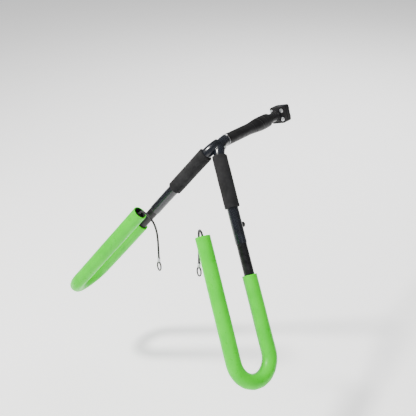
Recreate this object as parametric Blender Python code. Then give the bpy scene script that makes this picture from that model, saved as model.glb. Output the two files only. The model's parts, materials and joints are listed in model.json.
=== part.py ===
"""Seat-post carrier for a surfboard: a clamp, a swivelling arm and two telescoping padded hooks.

Metres, +Z up, +X towards the front of the bicycle, the arm reaches out along -Y.
The origin is where the arm's axis crosses the seat post's axis.
"""
import math

import bmesh
import bpy
from mathutils import Matrix, Vector

# Clearances
FIT_GAP = 0.0003            # between pieces that touch or slide
SPLIT_GAP = 0.0010          # half the opening between the clamp's two jaws

# Seat post clamp
POST_DIAMETER = 0.0272
SEAT_TUBE_LEAN = math.radians(18.0)
LINER_THICKNESS = 0.0012
JAW_WALL = 0.0039
JAW_HEIGHT = 0.057
JAW_CORNER = 0.006
BOLT_DIAMETER = 0.006
BOLT_HEAD_DIAMETER = 0.014
BOLT_HEAD_HEIGHT = 0.0045
BOLT_WALL = 0.0016          # jaw metal between the post bore and a bolt hole
BOLT_EDGE = 0.014           # from the jaw's end to the bolt rows
NUT_ACROSS_FLATS = 0.010
NUT_HEIGHT = 0.005
BOSS_DIAMETER = 0.037
BOSS_LENGTH = 0.020

# Arm
TUBE_DIAMETER = 0.035
TUBE_WALL = 0.0013
HUB_REACH = 0.308           # post axis to the ring where the elbows start
NECK_LENGTH = 0.150         # post axis to the neck's hidden outer end
NECK_WALL = 0.0025
COLLAR_PLACE = 0.076        # post axis to the stop collar
COLLAR_WIDTH = 0.008
COLLAR_DIAMETER = 0.038
ARM_SLEEVE_DIAMETER = 0.0375
ARM_SLEEVE_BULGE = 0.047
RING_THICKNESS = 0.0016
RING_DIAMETER = 0.0385
SPIGOT_LENGTH = 0.028
SPIGOT_NOSE = 0.008
HUB_BOLT_DIAMETER = 0.005
HUB_BOLT_HEAD = 0.009
HUB_BOLT_TURN = math.radians(38.0)          # where on the front elbow's bend the bolt goes through
HUB_BOLT_REACH = 0.024                      # past the front elbow's axis, into the rear elbow's end

# Elbows and legs
ELBOW_RADIUS = 0.060
ELBOW_BEND = math.radians(72.9)
LEG_SPLAY = math.radians(35.2)
REAR_ELBOW_SHIFT = 0.015    # the rear elbow's arc starts this far outboard of the front one's
REAR_ELBOW_CUT = math.radians(18.0)         # turn at which the rear elbow's upper end is cut square
REAR_PLUG_END = 7           # station where the rear elbow's solid upper end turns into a tube
LEG_LENGTH = 0.266          # straight tube below the elbow
LEG_FOAM_END = 0.155
LEG_FOAM_DIAMETER = 0.0465

# Hooks, measured down the leg from the end of the elbow
HOOK_FOAM_DIAMETER = 0.045
HOOK_GAP = 0.090            # clear width between the two padded sides of a hook
HOOK_TUBE_WALL = 0.0015
HOOK_TUBE_TOP = 0.100
HOOK_FOAM_TOP = {"front": 0.361, "rear": 0.343}
HOOK_BEND_PLACE = 0.586
HOOK_OPEN_END = 0.224
MOUTH_DEPTH = 0.012         # from the foam's mouth to the end of the tube in it
MOUTH_DIAMETER = 0.037
END_PLUG_LENGTH = 0.012
HOOK_TWIST = math.radians(3.9)              # the hooks toe in a little about their legs

# Lock knobs and the slots they travel in
KNOB_PLACE = 0.210
KNOB_DIAMETER = 0.018
KNOB_HEIGHT = 0.010
KNOB_SCREW_DIAMETER = 0.006
SLIDE_IN = 0.040
SLIDE_OUT = 0.035

# Bungee cords
CORD_DIAMETER = 0.0065
FERRULE_DIAMETER = 0.010
FERRULE_LENGTH = 0.013
CORD_HOOK_WIRE = 0.0048
CORD_HOOK_HEIGHT = 0.036
CORD_HOOK_WIDTH = 0.020
CORD_HOOK_OPENING = math.radians(40.0)      # turn left open between the hook's tip and its shank

# Facets
TUBE_SIDES = 20
SMALL_SIDES = 16
ELBOW_STEPS = 10
U_BEND_STEPS = 12

# Sizes that follow from the ones above
BORE_RADIUS = POST_DIAMETER / 2 + LINER_THICKNESS + FIT_GAP
BOLT_HOLE_RADIUS = BOLT_DIAMETER / 2 + FIT_GAP
BOLT_COLUMN = BORE_RADIUS + BOLT_WALL + BOLT_HOLE_RADIUS
BOLT_ROW = JAW_HEIGHT / 2 - BOLT_EDGE
JAW_WIDTH = 2 * (BOLT_COLUMN + BOLT_HEAD_DIAMETER / 2)
JAW_DEPTH = BORE_RADIUS + JAW_WALL
TUBE_RADIUS = TUBE_DIAMETER / 2
TUBE_BORE = TUBE_RADIUS - TUBE_WALL
SLIDING_RADIUS = TUBE_BORE - FIT_GAP        # neck and hook tubes run in the bore of the larger tube
HOOK_BORE = SLIDING_RADIUS - HOOK_TUBE_WALL
HOOK_SPACING = HOOK_GAP + HOOK_FOAM_DIAMETER
SLEEVED = TUBE_RADIUS + FIT_GAP             # bore of a foam sleeve on the larger tube
PADDED = SLIDING_RADIUS + FIT_GAP           # bore of the foam on a hook tube
ARM_START = COLLAR_PLACE + COLLAR_WIDTH / 2 + FIT_GAP

OUTBOARD = Vector((0, -1, 0))
UP = Vector((0, 0, 1))
FORWARD = Vector((1, 0, 0))


# ---------------------------------------------------------------- scene and materials

for old in list(bpy.data.objects):
    bpy.data.objects.remove(old)


def material(name, colour, roughness, metallic=0.0):
    made = bpy.data.materials.new(name)
    made.use_nodes = True
    shader = made.node_tree.nodes["Principled BSDF"]
    shader.inputs["Base Color"].default_value = (*colour, 1.0)
    shader.inputs["Roughness"].default_value = roughness
    shader.inputs["Metallic"].default_value = metallic
    return made


CAST_BLACK = material("black_cast_metal", (0.015, 0.015, 0.016), 0.45, 0.6)
BLACK_TUBE = material("black_coated_tube", (0.012, 0.013, 0.016), 0.22, 0.3)
BRIGHT_STEEL = material("bright_steel", (0.72, 0.72, 0.74), 0.25, 1.0)
GREEN_FOAM = material("green_foam", (0.27, 0.78, 0.05), 0.6)
CHARCOAL_FOAM = material("charcoal_foam", (0.035, 0.036, 0.04), 0.8)
BLACK_SLEEVE = material("black_sleeve", (0.012, 0.012, 0.013), 0.4)
BLACK_RUBBER = material("black_rubber", (0.02, 0.02, 0.02), 0.75)
BLACK_PLASTIC = material("black_plastic", (0.02, 0.02, 0.022), 0.4)
BLACK_CORD = material("black_braided_cord", (0.018, 0.018, 0.02), 0.85)


# ---------------------------------------------------------------- shape helpers

def add_object(name, mesh, finish, parent=None, place=None):
    """Put a mesh in the scene under a name, at a matrix or hung from a parent."""
    thing = bpy.data.objects.new(name, mesh)
    bpy.context.scene.collection.objects.link(thing)
    thing.data.materials.append(finish)
    if place is not None:
        thing.matrix_world = place
    if parent is not None:
        thing.parent = parent
    return thing


def finish_mesh(name, bm, smooth=True):
    bmesh.ops.recalc_face_normals(bm, faces=bm.faces)
    mesh = bpy.data.meshes.new(name)
    bm.to_mesh(mesh)
    bm.free()
    if smooth:
        mesh.shade_smooth()
        mesh.set_sharp_from_angle(angle=math.radians(40))
    return mesh


def cutter(thing):
    thing.hide_render = True
    thing.display_type = "WIRE"
    return thing


def cut(thing, tool):
    modifier = thing.modifiers.new("cut_" + tool.name, "BOOLEAN")
    modifier.operation = "DIFFERENCE"
    modifier.solver = "EXACT"
    modifier.object = cutter(tool)


def skin(bm, stations, normal, sides):
    """Rings of vertices around stations (centre, tangent, radius), joined by quads."""
    rings = []
    for centre, tangent, radius in stations:
        across = tangent.cross(normal)
        ring = []
        for step in range(sides):
            turn = 2 * math.pi * step / sides
            ring.append(bm.verts.new(centre + radius * (math.cos(turn) * normal + math.sin(turn) * across)))
        rings.append(ring)
    for first, second in zip(rings, rings[1:]):
        for step in range(sides):
            after = (step + 1) % sides
            bm.faces.new((first[step], first[after], second[after], second[step]))
    return rings


def close_end(bm, outer_ring, bore_ring=None):
    """A flat disc over an end, or a flat ring where the bore is open there."""
    if bore_ring is None:
        bm.faces.new(outer_ring)
        return
    for step in range(len(outer_ring)):
        after = (step + 1) % len(outer_ring)
        bm.faces.new((outer_ring[step], outer_ring[after], bore_ring[after], bore_ring[step]))


def sweep(name, outside, bore, normal, sides=TUBE_SIDES, bore_starts_inside=False):
    """A rod, or a tube when bore stations are given, swept in the plane square to normal."""
    bm = bmesh.new()
    outer = skin(bm, outside, normal, sides)
    if not bore:
        close_end(bm, outer[0])
        close_end(bm, outer[-1])
        return finish_mesh(name, bm)
    inner = skin(bm, bore, normal, sides)
    if bore_starts_inside:
        close_end(bm, outer[0])
        close_end(bm, inner[0])
    else:
        close_end(bm, outer[0], inner[0])
    close_end(bm, outer[-1], inner[-1])
    return finish_mesh(name, bm)


def turned(name, profile, bore=None, sides=SMALL_SIDES):
    """A piece turned about local Z from (radius, height) pairs, with an optional bore profile."""
    def stations(pairs):
        return [(Vector((0, 0, height)), UP, radius) for radius, height in pairs]
    return sweep(name, stations(profile), stations(bore) if bore else None, FORWARD, sides)


def sized(path, radius):
    """Stations of one radius along a path of (centre, tangent) pairs."""
    return [(centre, tangent, radius) for centre, tangent in path]


def arm_path(places):
    return [(OUTBOARD * place, OUTBOARD) for place in places]


def look_along(direction, spin_reference, origin):
    """A matrix at origin whose local Z points along direction."""
    z_axis = direction.normalized()
    x_axis = (spin_reference - z_axis * spin_reference.dot(z_axis)).normalized()
    y_axis = z_axis.cross(x_axis)
    turn = Matrix((x_axis, y_axis, z_axis)).transposed().to_4x4()
    return Matrix.Translation(origin) @ turn


# ---------------------------------------------------------------- clamp, built upright and leaned as one

clamp_frame = bpy.data.objects.new("clamp_frame", None)
bpy.context.scene.collection.objects.link(clamp_frame)
clamp_frame.rotation_euler = (0, -SEAT_TUBE_LEAN, 0)


def rounded_block(name, width, depth, height, corner, middle):
    """A block with its four long edges along Y rounded off."""
    bm = bmesh.new()
    bmesh.ops.create_cube(bm, size=1.0, matrix=Matrix.Translation(middle) @ Matrix.Diagonal(
        (width, depth, height, 1.0)))
    long_edges = [edge for edge in bm.edges
                  if abs((edge.verts[0].co - edge.verts[1].co).y) > depth / 2]
    bmesh.ops.bevel(bm, geom=long_edges, offset=corner, segments=4, affect="EDGES", profile=0.5)
    return finish_mesh(name, bm)


def jaw(name, side):
    """Half of the clamp block: side -1 is outboard, +1 is towards the bicycle."""
    depth = JAW_DEPTH - SPLIT_GAP
    middle = Vector((0, side * (SPLIT_GAP + depth / 2), 0))
    block = add_object(name, rounded_block(name, JAW_WIDTH, depth, JAW_HEIGHT, JAW_CORNER, middle),
                       CAST_BLACK, clamp_frame)
    reach = JAW_HEIGHT
    bore = turned(name + "_bore", [(BORE_RADIUS, -reach), (BORE_RADIUS, reach)], sides=32)
    cut(block, add_object(name + "_bore", bore, CAST_BLACK, clamp_frame))
    for number, (column, row) in enumerate(bolt_places()):
        drill = turned(f"{name}_drill_{number}", [(BOLT_HOLE_RADIUS, -reach), (BOLT_HOLE_RADIUS, reach)])
        tool = add_object(f"{name}_drill_{number}", drill, CAST_BLACK, clamp_frame)
        tool.location = (column, 0, row)
        tool.rotation_euler = (math.pi / 2, 0, 0)
        cut(block, tool)
    return block


def bolt_places():
    return [(column, row) for column in (BOLT_COLUMN, -BOLT_COLUMN) for row in (BOLT_ROW, -BOLT_ROW)]


def liner(name, side):
    """Rubber half shell between a jaw and the post, cut off square at the split."""
    bm = bmesh.new()
    outer_radius = BORE_RADIUS - FIT_GAP
    inner_radius = outer_radius - LINER_THICKNESS
    steps = 16
    start = math.asin(SPLIT_GAP / outer_radius)
    loops = []
    for step in range(steps + 1):
        turn = start + (math.pi - 2 * start) * step / steps
        loop = []
        for radius, height in ((outer_radius, -1), (outer_radius, 1), (inner_radius, 1), (inner_radius, -1)):
            loop.append(bm.verts.new((radius * math.cos(turn), side * radius * math.sin(turn),
                                      height * JAW_HEIGHT / 2)))
        loops.append(loop)
    for first, second in zip(loops, loops[1:]):
        for corner in range(4):
            after = (corner + 1) % 4
            bm.faces.new((first[corner], first[after], second[after], second[corner]))
    bm.faces.new(loops[0])
    bm.faces.new(loops[-1])
    return add_object(name, finish_mesh(name, bm), BLACK_RUBBER, clamp_frame)


outer_jaw = jaw("clamp_outer_jaw", -1)
inner_jaw = jaw("clamp_inner_jaw", 1)
liner("clamp_liner_outer", -1)
liner("clamp_liner_inner", 1)

# The outer jaw's boss holds the neck tube in a blind socket.
boss_end = JAW_DEPTH + BOSS_LENGTH
boss = add_object("boss", turned("boss", [
    (BOSS_DIAMETER / 2 + 0.002, JAW_DEPTH - 0.001), (BOSS_DIAMETER / 2, JAW_DEPTH + 0.003),
    (BOSS_DIAMETER / 2, boss_end - 0.002), (BOSS_DIAMETER / 2 - 0.002, boss_end)], sides=32),
    CAST_BLACK, clamp_frame)
boss.rotation_euler = (math.pi / 2, 0, 0)
cutter(boss)
weld = outer_jaw.modifiers.new("boss", "BOOLEAN")
weld.operation = "UNION"
weld.solver = "EXACT"
weld.object = boss
socket = add_object("socket", turned("socket", [
    (SLIDING_RADIUS + FIT_GAP, JAW_DEPTH + 0.001), (SLIDING_RADIUS + FIT_GAP, boss_end + 0.01)],
    sides=TUBE_SIDES), CAST_BLACK, clamp_frame)
socket.rotation_euler = (math.pi / 2, 0, 0)
cut(outer_jaw, socket)

# Each bolt head has a spot face in the jaw, which also scallops the boss beside it.
head_radius = BOLT_HEAD_DIAMETER / 2
for number, (column, row) in enumerate(bolt_places(), start=1):
    spot = add_object(f"spot_{number}", turned(f"spot_{number}", [
        (head_radius + 2 * FIT_GAP, JAW_DEPTH - FIT_GAP), (head_radius + 2 * FIT_GAP, boss_end + 0.01)],
        sides=24), CAST_BLACK, clamp_frame)
    spot.location = (column, 0, row)
    spot.rotation_euler = (math.pi / 2, 0, 0)
    cut(outer_jaw, spot)

# Domed bolts from the outboard side, nuts on the far side.
shank = 2 * JAW_DEPTH + NUT_HEIGHT + 0.002
dome = [(head_radius, 0.0), (head_radius, 0.3 * BOLT_HEAD_HEIGHT),
        (0.85 * head_radius, 0.7 * BOLT_HEAD_HEIGHT), (0.5 * head_radius, 0.95 * BOLT_HEAD_HEIGHT),
        (0.15 * head_radius, BOLT_HEAD_HEIGHT)]
bolt_mesh = turned("clamp_bolt", [(BOLT_DIAMETER / 2, -shank), (BOLT_DIAMETER / 2, 0.0)] + dome)


def hex_nut(name, across_flats, height, hole_radius):
    """A six-sided nut with a round hole, standing on local Z = 0."""
    bm = bmesh.new()
    corner = across_flats / math.sqrt(3)
    loops = []
    for radius, level, is_hex in ((corner, 0, True), (corner, height, True),
                                  (hole_radius, height, False), (hole_radius, 0, False)):
        loop = []
        for step in range(24):
            turn = 2 * math.pi * step / 24
            reach = radius
            if is_hex:
                off_flat = (turn % (math.pi / 3)) - math.pi / 6
                reach = across_flats / 2 / math.cos(off_flat)
            loop.append(bm.verts.new((reach * math.cos(turn), reach * math.sin(turn), level)))
        loops.append(loop)
    for first, second in zip(loops, loops[1:] + loops[:1]):
        for step in range(24):
            after = (step + 1) % 24
            bm.faces.new((first[step], first[after], second[after], second[step]))
    return finish_mesh(name, bm, smooth=False)


nut_mesh = hex_nut("clamp_nut", NUT_ACROSS_FLATS, NUT_HEIGHT, BOLT_HOLE_RADIUS)
for number, (column, row) in enumerate(bolt_places(), start=1):
    bolt = add_object(f"clamp_bolt_{number}", bolt_mesh, BRIGHT_STEEL, clamp_frame)
    bolt.location = (column, -JAW_DEPTH, row)
    bolt.rotation_euler = (math.pi / 2, 0, 0)
    nut = add_object(f"clamp_nut_{number}", nut_mesh, BRIGHT_STEEL, clamp_frame)
    nut.location = (column, JAW_DEPTH + FIT_GAP, row)
    nut.rotation_euler = (-math.pi / 2, 0, 0)


# ---------------------------------------------------------------- neck and arm

neck_start = JAW_DEPTH + 0.001 + FIT_GAP
neck_places = arm_path([neck_start, NECK_LENGTH])
neck = sweep("neck_tube", sized(neck_places, SLIDING_RADIUS),
             sized(neck_places, SLIDING_RADIUS - NECK_WALL), UP)
add_object("neck_tube", neck, BLACK_TUBE)

collar_from = COLLAR_PLACE - COLLAR_WIDTH / 2
collar_to = COLLAR_PLACE + COLLAR_WIDTH / 2
collar_out = [(place, tangent, COLLAR_DIAMETER / 2 - inset) for (place, tangent), inset in zip(
    arm_path([collar_from, collar_from + 0.001, collar_to - 0.001, collar_to]), (0.001, 0, 0, 0.001))]
collar = sweep("neck_collar", collar_out,
               sized(arm_path([collar_from, collar_to]), SLIDING_RADIUS + FIT_GAP), UP)
add_object("neck_collar", collar, CAST_BLACK)

arm_end = HUB_REACH - RING_THICKNESS / 2 - FIT_GAP
arm_places = arm_path([ARM_START, arm_end])
arm_frame = bpy.data.objects.new("arm_frame", None)
bpy.context.scene.collection.objects.link(arm_frame)
arm_tube = sweep("arm_tube", sized(arm_places, TUBE_RADIUS), sized(arm_places, TUBE_BORE), UP)
arm_tube = add_object("arm_tube", arm_tube, BLACK_TUBE, arm_frame)

# The soft sleeve is fat over the clamp end of the arm and slim towards the hub.
sleeve_start = ARM_START + 0.002
sleeve_end = arm_end - 0.001
fat = ARM_SLEEVE_BULGE / 2
slim = ARM_SLEEVE_DIAMETER / 2
sleeve_outline = [(sleeve_start, fat - 0.004), (sleeve_start + 0.002, fat - 0.0015),
                  (sleeve_start + 0.008, fat), (sleeve_start + 0.045, fat - 0.0005),
                  (sleeve_start + 0.065, fat - 0.002), (sleeve_start + 0.085, slim + 0.0012),
                  (sleeve_start + 0.110, slim), (sleeve_end, slim)]
sleeve = sweep("arm_sleeve",
               [(OUTBOARD * place, OUTBOARD, radius) for place, radius in sleeve_outline],
               sized(arm_path([sleeve_start, sleeve_end]), SLEEVED), UP)
arm_sleeve = add_object("arm_sleeve", sleeve, BLACK_SLEEVE, arm_frame)

# A set screw under the sleeve holds the arm from turning on the neck.
screw_place = (ARM_START + NECK_LENGTH) / 2
screw_radius = BOLT_DIAMETER / 2
screw_length = TUBE_WALL + 0.002
set_screw = add_object("arm_lock_screw", turned("arm_lock_screw", [
    (screw_radius, -screw_length), (screw_radius, 0.0)], sides=12), BRIGHT_STEEL, arm_frame,
    look_along(-UP, OUTBOARD, OUTBOARD * screw_place - UP * (SLIDING_RADIUS + FIT_GAP + screw_length)))
screw_drill = add_object("screw_drill", turned("screw_drill", [
    (screw_radius + FIT_GAP, -0.004), (screw_radius + FIT_GAP, 0.004)], sides=12), BRIGHT_STEEL, arm_frame,
    look_along(-UP, OUTBOARD, OUTBOARD * screw_place - UP * TUBE_RADIUS))
cut(arm_tube, screw_drill)
cut(arm_sleeve, screw_drill)

# Ring and spigot where the arm meets the front elbow.
ring_places = arm_path([HUB_REACH - RING_THICKNESS / 2, HUB_REACH + RING_THICKNESS / 2])
spigot_radius = TUBE_BORE - FIT_GAP
ring = sweep("hub_ring", sized(ring_places, RING_DIAMETER / 2),
             sized(ring_places, spigot_radius + FIT_GAP), UP)
add_object("hub_ring", ring, BRIGHT_STEEL, arm_frame)
nose_start = HUB_REACH + RING_THICKNESS / 2 + FIT_GAP
spigot = sweep("hub_spigot", [
    (OUTBOARD * (arm_end - SPIGOT_LENGTH), OUTBOARD, spigot_radius),
    (OUTBOARD * nose_start, OUTBOARD, spigot_radius),
    (OUTBOARD * (nose_start + 0.001), OUTBOARD, spigot_radius - 0.0008),
    (OUTBOARD * (nose_start + SPIGOT_NOSE), OUTBOARD, spigot_radius - 0.0008)], None, UP)
add_object("hub_spigot", spigot, BLACK_TUBE, arm_frame)


# ---------------------------------------------------------------- legs and hooks

class Leg:
    """One side of the carrier. All of it lies in the plane of the arm and the leg."""

    def __init__(self, name, side, elbow_shift):
        self.name = name
        self.side = side
        bend_way = math.cos(LEG_SPLAY) * -UP + side * math.sin(LEG_SPLAY) * FORWARD
        self.bend_way = bend_way
        self.down = math.cos(ELBOW_BEND) * OUTBOARD + math.sin(ELBOW_BEND) * bend_way
        self.across = (OUTBOARD - math.cos(ELBOW_BEND) * self.down) / math.sin(ELBOW_BEND)
        self.normal = OUTBOARD.cross(bend_way)
        twist = Matrix.Rotation(side * HOOK_TWIST, 3, self.down)
        self.hook_across = twist @ self.across
        self.hook_normal = twist @ self.normal
        self.elbow_start = OUTBOARD * (HUB_REACH + RING_THICKNESS / 2 + FIT_GAP + elbow_shift)
        self.top = self.elbow_point(ELBOW_BEND)[0]

    def elbow_point(self, turn):
        """Centre and direction of the elbow's tube, turn radians along its bend."""
        centre = self.elbow_start + ELBOW_RADIUS * (
            math.sin(turn) * OUTBOARD + (1 - math.cos(turn)) * self.bend_way)
        return centre, math.cos(turn) * OUTBOARD + math.sin(turn) * self.bend_way

    def elbow(self, first, last=ELBOW_STEPS):
        return [self.elbow_point(ELBOW_BEND * step / ELBOW_STEPS) for step in range(first, last + 1)]

    def inner(self, places):
        """Stations on the straight side that slides in the leg, measured down from the elbow."""
        return [(self.top + self.down * place, self.down) for place in places]

    def u_bend(self, steps=U_BEND_STEPS):
        """Stations around the bottom of the hook, from the inner side to the outboard side."""
        across = self.hook_across
        middle = self.top + self.down * HOOK_BEND_PLACE + across * HOOK_SPACING / 2
        stations = []
        for step in range(steps + 1):
            turn = math.pi * step / steps
            centre = middle + HOOK_SPACING / 2 * (
                math.sin(turn) * self.down - math.cos(turn) * across)
            stations.append((centre, math.cos(turn) * self.down + math.sin(turn) * across))
        return stations

    def outer(self, places):
        """Stations on the side with the open end, at distances measured down from the elbow."""
        start = self.top + self.hook_across * HOOK_SPACING
        return [(start + self.down * place, -self.down) for place in places]

    def knob_place(self):
        """A point on the leg's axis under the lock knob, and the way the knob faces."""
        return self.top + self.down * KNOB_PLACE, -self.hook_across


FRONT = Leg("front", 1, 0.0)
REAR = Leg("rear", -1, REAR_ELBOW_SHIFT)


def slot_tool(leg):
    """A long round-ended prism through the wall of the leg, for the lock knob's screw."""
    bm = bmesh.new()
    radius = KNOB_SCREW_DIAMETER / 2 + FIT_GAP + 0.0002
    outline = []
    for end, start_turn in ((SLIDE_OUT, -math.pi / 2), (-SLIDE_IN, math.pi / 2)):
        for step in range(9):
            turn = start_turn + math.pi * step / 8
            outline.append((end + radius * math.cos(turn), radius * math.sin(turn)))
    rings = []
    for depth in (TUBE_BORE - 0.003, TUBE_RADIUS + 0.003):
        centre = leg.knob_place()[0] - leg.hook_across * depth
        rings.append([bm.verts.new(centre + leg.down * along + leg.hook_normal * aside)
                      for along, aside in outline])
    for step in range(len(outline)):
        after = (step + 1) % len(outline)
        bm.faces.new((rings[0][step], rings[0][after], rings[1][after], rings[1][step]))
    close_end(bm, rings[0])
    close_end(bm, rings[1])
    return add_object(leg.name + "_slot", finish_mesh(leg.name + "_slot", bm), BLACK_TUBE, arm_frame)


def elbow_and_leg(leg):
    """The bent tube from the hub down to the open end that the hook slides in."""
    name = leg.name + "_elbow"
    end = leg.inner([LEG_LENGTH])
    if leg is FRONT:
        path = leg.elbow(0) + end
        tube = sweep(name, sized(path, TUBE_RADIUS), sized(path, TUBE_BORE), leg.normal)
    else:
        whole_steps = math.floor(REAR_ELBOW_CUT / ELBOW_BEND * ELBOW_STEPS) + 1
        path = [leg.elbow_point(REAR_ELBOW_CUT)] + leg.elbow(whole_steps) + end
        bore = leg.elbow(REAR_PLUG_END) + end
        tube = sweep(name, sized(path, TUBE_RADIUS), sized(bore, TUBE_BORE), leg.normal,
                     bore_starts_inside=True)
    made = add_object(name, tube, BLACK_TUBE, arm_frame)
    cut(made, slot_tool(leg))
    return made


front_elbow = elbow_and_leg(FRONT)
rear_elbow = elbow_and_leg(REAR)

# The rear elbow's upper end is coped to sit against the front elbow.
cope_path = [(FRONT.elbow_start - OUTBOARD * 0.004, OUTBOARD)] + FRONT.elbow(0) + FRONT.inner([0.080])
cope = add_object("cope", sweep("cope", sized(cope_path, TUBE_RADIUS + FIT_GAP), None, FRONT.normal),
                  BLACK_TUBE, arm_frame)
cut(rear_elbow, cope)


# One bolt goes through the front elbow into the rear elbow's solid end.
bolt_centre, bolt_tangent = FRONT.elbow_point(HUB_BOLT_TURN)
bolt_facing = (FORWARD - bolt_tangent * FORWARD.dot(bolt_tangent)).normalized()
bolt_matrix = look_along(bolt_facing, bolt_tangent, bolt_centre)
bolt_seat = TUBE_RADIUS + FIT_GAP
hub_bolt_radius = HUB_BOLT_DIAMETER / 2
hub_head = HUB_BOLT_HEAD / 2
add_object("hub_bolt", turned("hub_bolt", [
    (hub_bolt_radius, -HUB_BOLT_REACH), (hub_bolt_radius, bolt_seat), (hub_head, bolt_seat),
    (hub_head, bolt_seat + 0.001), (0.8 * hub_head, bolt_seat + 0.0024),
    (0.4 * hub_head, bolt_seat + 0.003)]),
    BRIGHT_STEEL, arm_frame, bolt_matrix)
hub_drill = add_object("hub_drill", turned("hub_drill", [
    (hub_bolt_radius + FIT_GAP, -HUB_BOLT_REACH - FIT_GAP), (hub_bolt_radius + FIT_GAP, bolt_seat + 0.005)]),
    BRIGHT_STEEL, arm_frame, bolt_matrix)
cut(front_elbow, hub_drill)
cut(rear_elbow, hub_drill)


def leg_foam(leg):
    """Charcoal foam sleeve over the top of the leg, starting on the last of the bend."""
    name = leg.name + "_leg_foam"
    path = leg.elbow(ELBOW_STEPS - 1) + leg.inner([LEG_FOAM_END])
    add_object(name, sweep(name, sized(path, LEG_FOAM_DIAMETER / 2), sized(path, SLEEVED), leg.normal),
               CHARCOAL_FOAM, arm_frame)


def hook_tube(leg):
    """The J-shaped tube that slides in the leg, drilled for the lock knob's screw."""
    name = leg.name + "_hook_tube"
    path = leg.inner([HOOK_TUBE_TOP]) + leg.u_bend() + leg.outer([HOOK_OPEN_END + MOUTH_DEPTH])
    made = add_object(name, sweep(name, sized(path, SLIDING_RADIUS), sized(path, HOOK_BORE), leg.hook_normal),
                      BLACK_TUBE, leg.frame)
    drill_length = TUBE_RADIUS + 0.004
    drill = add_object(leg.name + "_knob_drill", turned(leg.name + "_knob_drill", [
        (KNOB_SCREW_DIAMETER / 2 + FIT_GAP, 0.002), (KNOB_SCREW_DIAMETER / 2 + FIT_GAP, drill_length)]),
        BLACK_TUBE, leg.frame, look_along(leg.knob_place()[1], leg.down, leg.knob_place()[0]))
    cut(made, drill)


def hook_foam(leg):
    """Foam padding over the hook, with a wider mouth past the end of the tube."""
    name = leg.name + "_hook_foam"
    top = leg.inner([HOOK_FOAM_TOP[leg.name]])
    path = top + leg.u_bend() + leg.outer([HOOK_OPEN_END + MOUTH_DEPTH])
    outside = sized(path + leg.outer([HOOK_OPEN_END + 0.004]), HOOK_FOAM_DIAMETER / 2)
    outside += sized(leg.outer([HOOK_OPEN_END]), HOOK_FOAM_DIAMETER / 2 - 0.0015)
    bore = sized(path, PADDED)
    bore += sized(leg.outer([HOOK_OPEN_END + MOUTH_DEPTH - 0.002, HOOK_OPEN_END]), MOUTH_DIAMETER / 2)
    add_object(name, sweep(name, outside, bore, leg.hook_normal), GREEN_FOAM, leg.frame)


def end_plug(leg):
    """Plug in the hook tube's open end, with a hole for the bungee cord."""
    name = leg.name + "_end_plug"
    inside = HOOK_OPEN_END + MOUTH_DEPTH
    path = leg.outer([inside + END_PLUG_LENGTH, inside + FIT_GAP])
    add_object(name, sweep(name, sized(path, HOOK_BORE - FIT_GAP),
                           sized(path, CORD_DIAMETER / 2 + FIT_GAP), leg.hook_normal, SMALL_SIDES),
               BLACK_PLASTIC, leg.frame)


def lock_knob(leg):
    """Round knob whose screw goes through the leg's slot into a nut in the hook tube."""
    centre, facing = leg.knob_place()
    seat = TUBE_RADIUS + FIT_GAP
    nut_half = NUT_ACROSS_FLATS / math.sqrt(3)
    nut_top = math.sqrt(HOOK_BORE ** 2 - nut_half ** 2) - FIT_GAP
    nut_bottom = nut_top - NUT_HEIGHT
    screw = KNOB_SCREW_DIAMETER / 2
    rim = KNOB_DIAMETER / 2
    knob = turned(leg.name + "_lock_knob", [
        (screw, nut_bottom - 0.001), (screw, seat), (rim - 0.001, seat), (rim, seat + 0.001),
        (rim, seat + KNOB_HEIGHT - 0.002), (rim - 0.002, seat + KNOB_HEIGHT)], sides=24)
    place = look_along(facing, leg.down, centre)
    add_object(leg.name + "_lock_knob", knob, BLACK_PLASTIC, leg.frame, place)
    nut = hex_nut(leg.name + "_lock_nut", NUT_ACROSS_FLATS, NUT_HEIGHT, screw + FIT_GAP)
    add_object(leg.name + "_lock_nut", nut, BRIGHT_STEEL, leg.frame,
               look_along(facing, leg.down, centre + facing * nut_bottom))


# The cords leave the hooks' open ends, droop over the foam's rim and hang. Each route starts in the end plug.
CORD_ROUTES = {
    "front": [(0.1307, -0.5681, -0.2012), (0.1241, -0.5645, -0.1919), (0.1175, -0.5610, -0.1825),
              (0.1130, -0.5585, -0.1764), (0.1069, -0.5554, -0.1729), (0.0996, -0.5515, -0.1738),
              (0.0939, -0.5485, -0.1793), (0.0921, -0.5474, -0.1865), (0.0919, -0.5472, -0.1990),
              (0.0919, -0.5472, -0.2200), (0.0919, -0.5472, -0.2460), (0.0919, -0.5472, -0.2700),
              (0.0919, -0.5472, -0.2920)],
    "rear": [(-0.1307, -0.5831, -0.2012), (-0.1241, -0.5796, -0.1919), (-0.1197, -0.5772, -0.1858),
             (-0.1155, -0.5752, -0.1808), (-0.1095, -0.5740, -0.1775), (-0.1010, -0.5733, -0.1785),
             (-0.0910, -0.5723, -0.1830), (-0.0790, -0.5705, -0.1925), (-0.0690, -0.5692, -0.2050),
             (-0.0620, -0.5682, -0.2215), (-0.0580, -0.5675, -0.2430), (-0.0565, -0.5671, -0.2650),
             (-0.0562, -0.5670, -0.2900), (-0.0562, -0.5670, -0.3270)],
}


def smooth_route(route, steps=2):
    """Points along a smooth curve through the route's own points."""
    points = [Vector(place) for place in route]
    padded = [2 * points[0] - points[1]] + points + [2 * points[-1] - points[-2]]
    smooth = []
    for before, start, end, after in zip(padded, padded[1:], padded[2:], padded[3:]):
        for step in range(steps):
            part = step / steps
            smooth.append(0.5 * (2 * start + (end - before) * part
                                 + (2 * before - 5 * start + 4 * end - after) * part ** 2
                                 + (3 * start - before - 3 * end + after) * part ** 3))
    return smooth + [points[-1]]


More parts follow.
